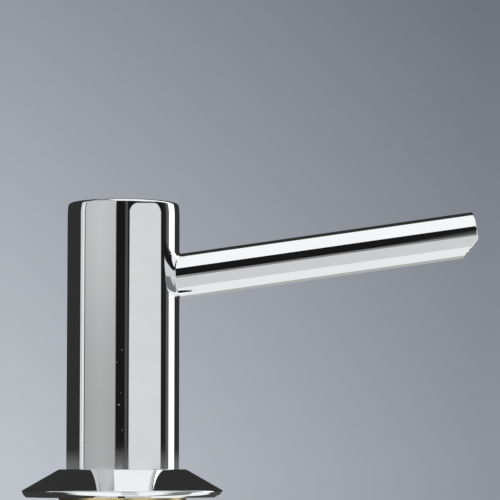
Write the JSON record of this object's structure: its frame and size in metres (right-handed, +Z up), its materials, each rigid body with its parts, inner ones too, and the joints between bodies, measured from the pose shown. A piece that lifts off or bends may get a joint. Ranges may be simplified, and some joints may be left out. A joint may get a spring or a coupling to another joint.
{
  "type": "soap pump dispenser",
  "caption": "Deck-mounted soap pump: a tube head with a rising spout presses into a conical flange; threaded shank, nut and soap bottle hang under the worktop.",
  "frame": {"origin": "on the head's axis, in the plane of the worktop's surface, where the flange and its gasket rest", "axes": "+Z up along the head's axis, +X the way the spout points, the spout lying in the XZ plane"},
  "size_m": [0.1298, 0.07, 0.2521],
  "materials": {
    "polished_chrome": "mirror-polished chrome plate on brass",
    "brass_thread": "bare machined brass, satin",
    "stainless_steel": "plain stainless steel",
    "white_acetal": "moulded acetal, satin",
    "black_nylon": "glass-filled nylon, matt",
    "black_rubber": "moulded rubber, matt",
    "clear_hose": "clear extruded hose",
    "milky_polythene": "blown natural polythene, satin"
  },
  "bodies": {
    "deck_fitting": {"flange": "polished_chrome", "deck_gasket": "black_rubber", "guide_ring": "white_acetal", "shank": "brass_thread"},
    "pump": {"pump_chamber": "white_acetal", "pump_collar": "white_acetal", "stem_wiper": "black_rubber", "chamber_seal": "black_rubber", "ball_cage": "white_acetal", "dip_tube": "clear_hose", "return_spring": "stainless_steel"},
    "plunger": {"stem": "white_acetal", "piston": "black_nylon"},
    "head": {"head_shell": "polished_chrome", "spout_tube": "polished_chrome", "outlet_nozzle": "black_nylon", "spout_hose": "clear_hose", "head_insert": "black_nylon"},
    "inlet_valve": {"inlet_ball": "stainless_steel"},
    "outlet_valve": {"outlet_ball": "stainless_steel"},
    "clamp": {"rubber_washer": "black_rubber", "clamp_washer": "stainless_steel"},
    "nut": {"wing_nut": "black_nylon"},
    "bottle_ring": {"bottle_seal": "black_rubber"},
    "soap_bottle": {"bottle": "milky_polythene"}
  },
  "joints": [
    {"name": "pump_lift", "type": "slide", "parent": "deck_fitting", "child": "pump", "axis": [0, 0, 1], "range_m": [0, 0.175]},
    {"name": "press", "type": "slide", "parent": "pump", "child": "plunger", "axis": [0, 0, -1], "range_m": [0, 0.012], "stiffness_N_per_m": 600, "springref_m": -0.01, "deforming": ["return_spring"]},
    {"name": "swivel", "type": "hinge", "parent": "plunger", "child": "head", "pos_m": [0, 0, 0.05], "axis": [0, 0, 1], "continuous": true},
    {"name": "inlet_lift", "type": "slide", "parent": "pump", "child": "inlet_valve", "axis": [0, 0, 1], "range_m": [0, 0.0015]},
    {"name": "outlet_lift", "type": "slide", "parent": "plunger", "child": "outlet_valve", "axis": [0, 0, 1], "range_m": [0, 0.0015]},
    {"name": "clamp_slide", "type": "slide", "parent": "deck_fitting", "child": "clamp", "axis": [0, 0, 1], "range_m": [-0.005, 0.02]},
    {"name": "nut_spin", "type": "hinge", "parent": "clamp", "child": "nut", "pos_m": [0, 0, -0.039], "axis": [0, 0, 1], "range_deg": [-900, 3600]},
    {"name": "bottle_drop", "type": "slide", "parent": "deck_fitting", "child": "bottle_ring", "axis": [0, 0, -1], "range_m": [0, 0.0135]},
    {"name": "bottle_spin", "type": "hinge", "parent": "bottle_ring", "child": "soap_bottle", "pos_m": [0, 0, -0.06], "axis": [0, 0, 1], "range_deg": [-1620, 0]}
  ],
  "couplings": [
    {"joint": "nut_spin", "follows": "clamp_slide", "rad_per_m": 3141.6},
    {"joint": "bottle_spin", "follows": "bottle_drop", "rad_per_m": -2094.4}
  ]
}
